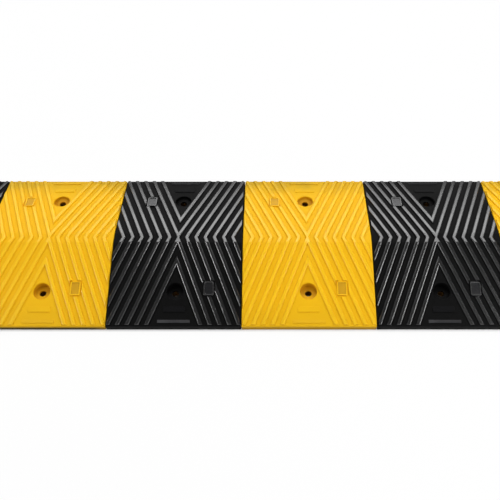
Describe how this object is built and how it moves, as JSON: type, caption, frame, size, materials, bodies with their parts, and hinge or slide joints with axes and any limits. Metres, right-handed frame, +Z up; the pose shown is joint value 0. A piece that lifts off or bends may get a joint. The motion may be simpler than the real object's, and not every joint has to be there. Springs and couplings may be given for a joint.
{
  "type": "speed bump",
  "caption": "Low modular road speed bump: alternating black and yellow moulded modules with chevron tread ribs and recessed bolt holes, linked end to end.",
  "frame": {"origin": "on the road, under the ridge, at the joint in the middle of the row", "axes": "+X along the row, +Y the way the traffic goes, +Z up"},
  "size_m": [1.527, 0.35, 0.05],
  "materials": {
    "black_moulding": "satin",
    "yellow_moulding": "satin",
    "bush_steel": "zinc plated"
  },
  "bodies": {
    "root": {"module_1_black": "black_moulding", "module_2_yellow": "yellow_moulding", "module_3_black": "black_moulding", "module_4_yellow": "yellow_moulding", "module_5_black": "black_moulding", "module_6_yellow": "yellow_moulding", "bush_1_front": "bush_steel", "bush_1_back": "bush_steel", "bush_2_front": "bush_steel", "bush_2_back": "bush_steel", "bush_3_front": "bush_steel", "bush_3_back": "bush_steel", "bush_4_front": "bush_steel", "bush_4_back": "bush_steel", "bush_5_front": "bush_steel", "bush_5_back": "bush_steel", "bush_6_front": "bush_steel", "bush_6_back": "bush_steel"}
  },
  "joints": []
}
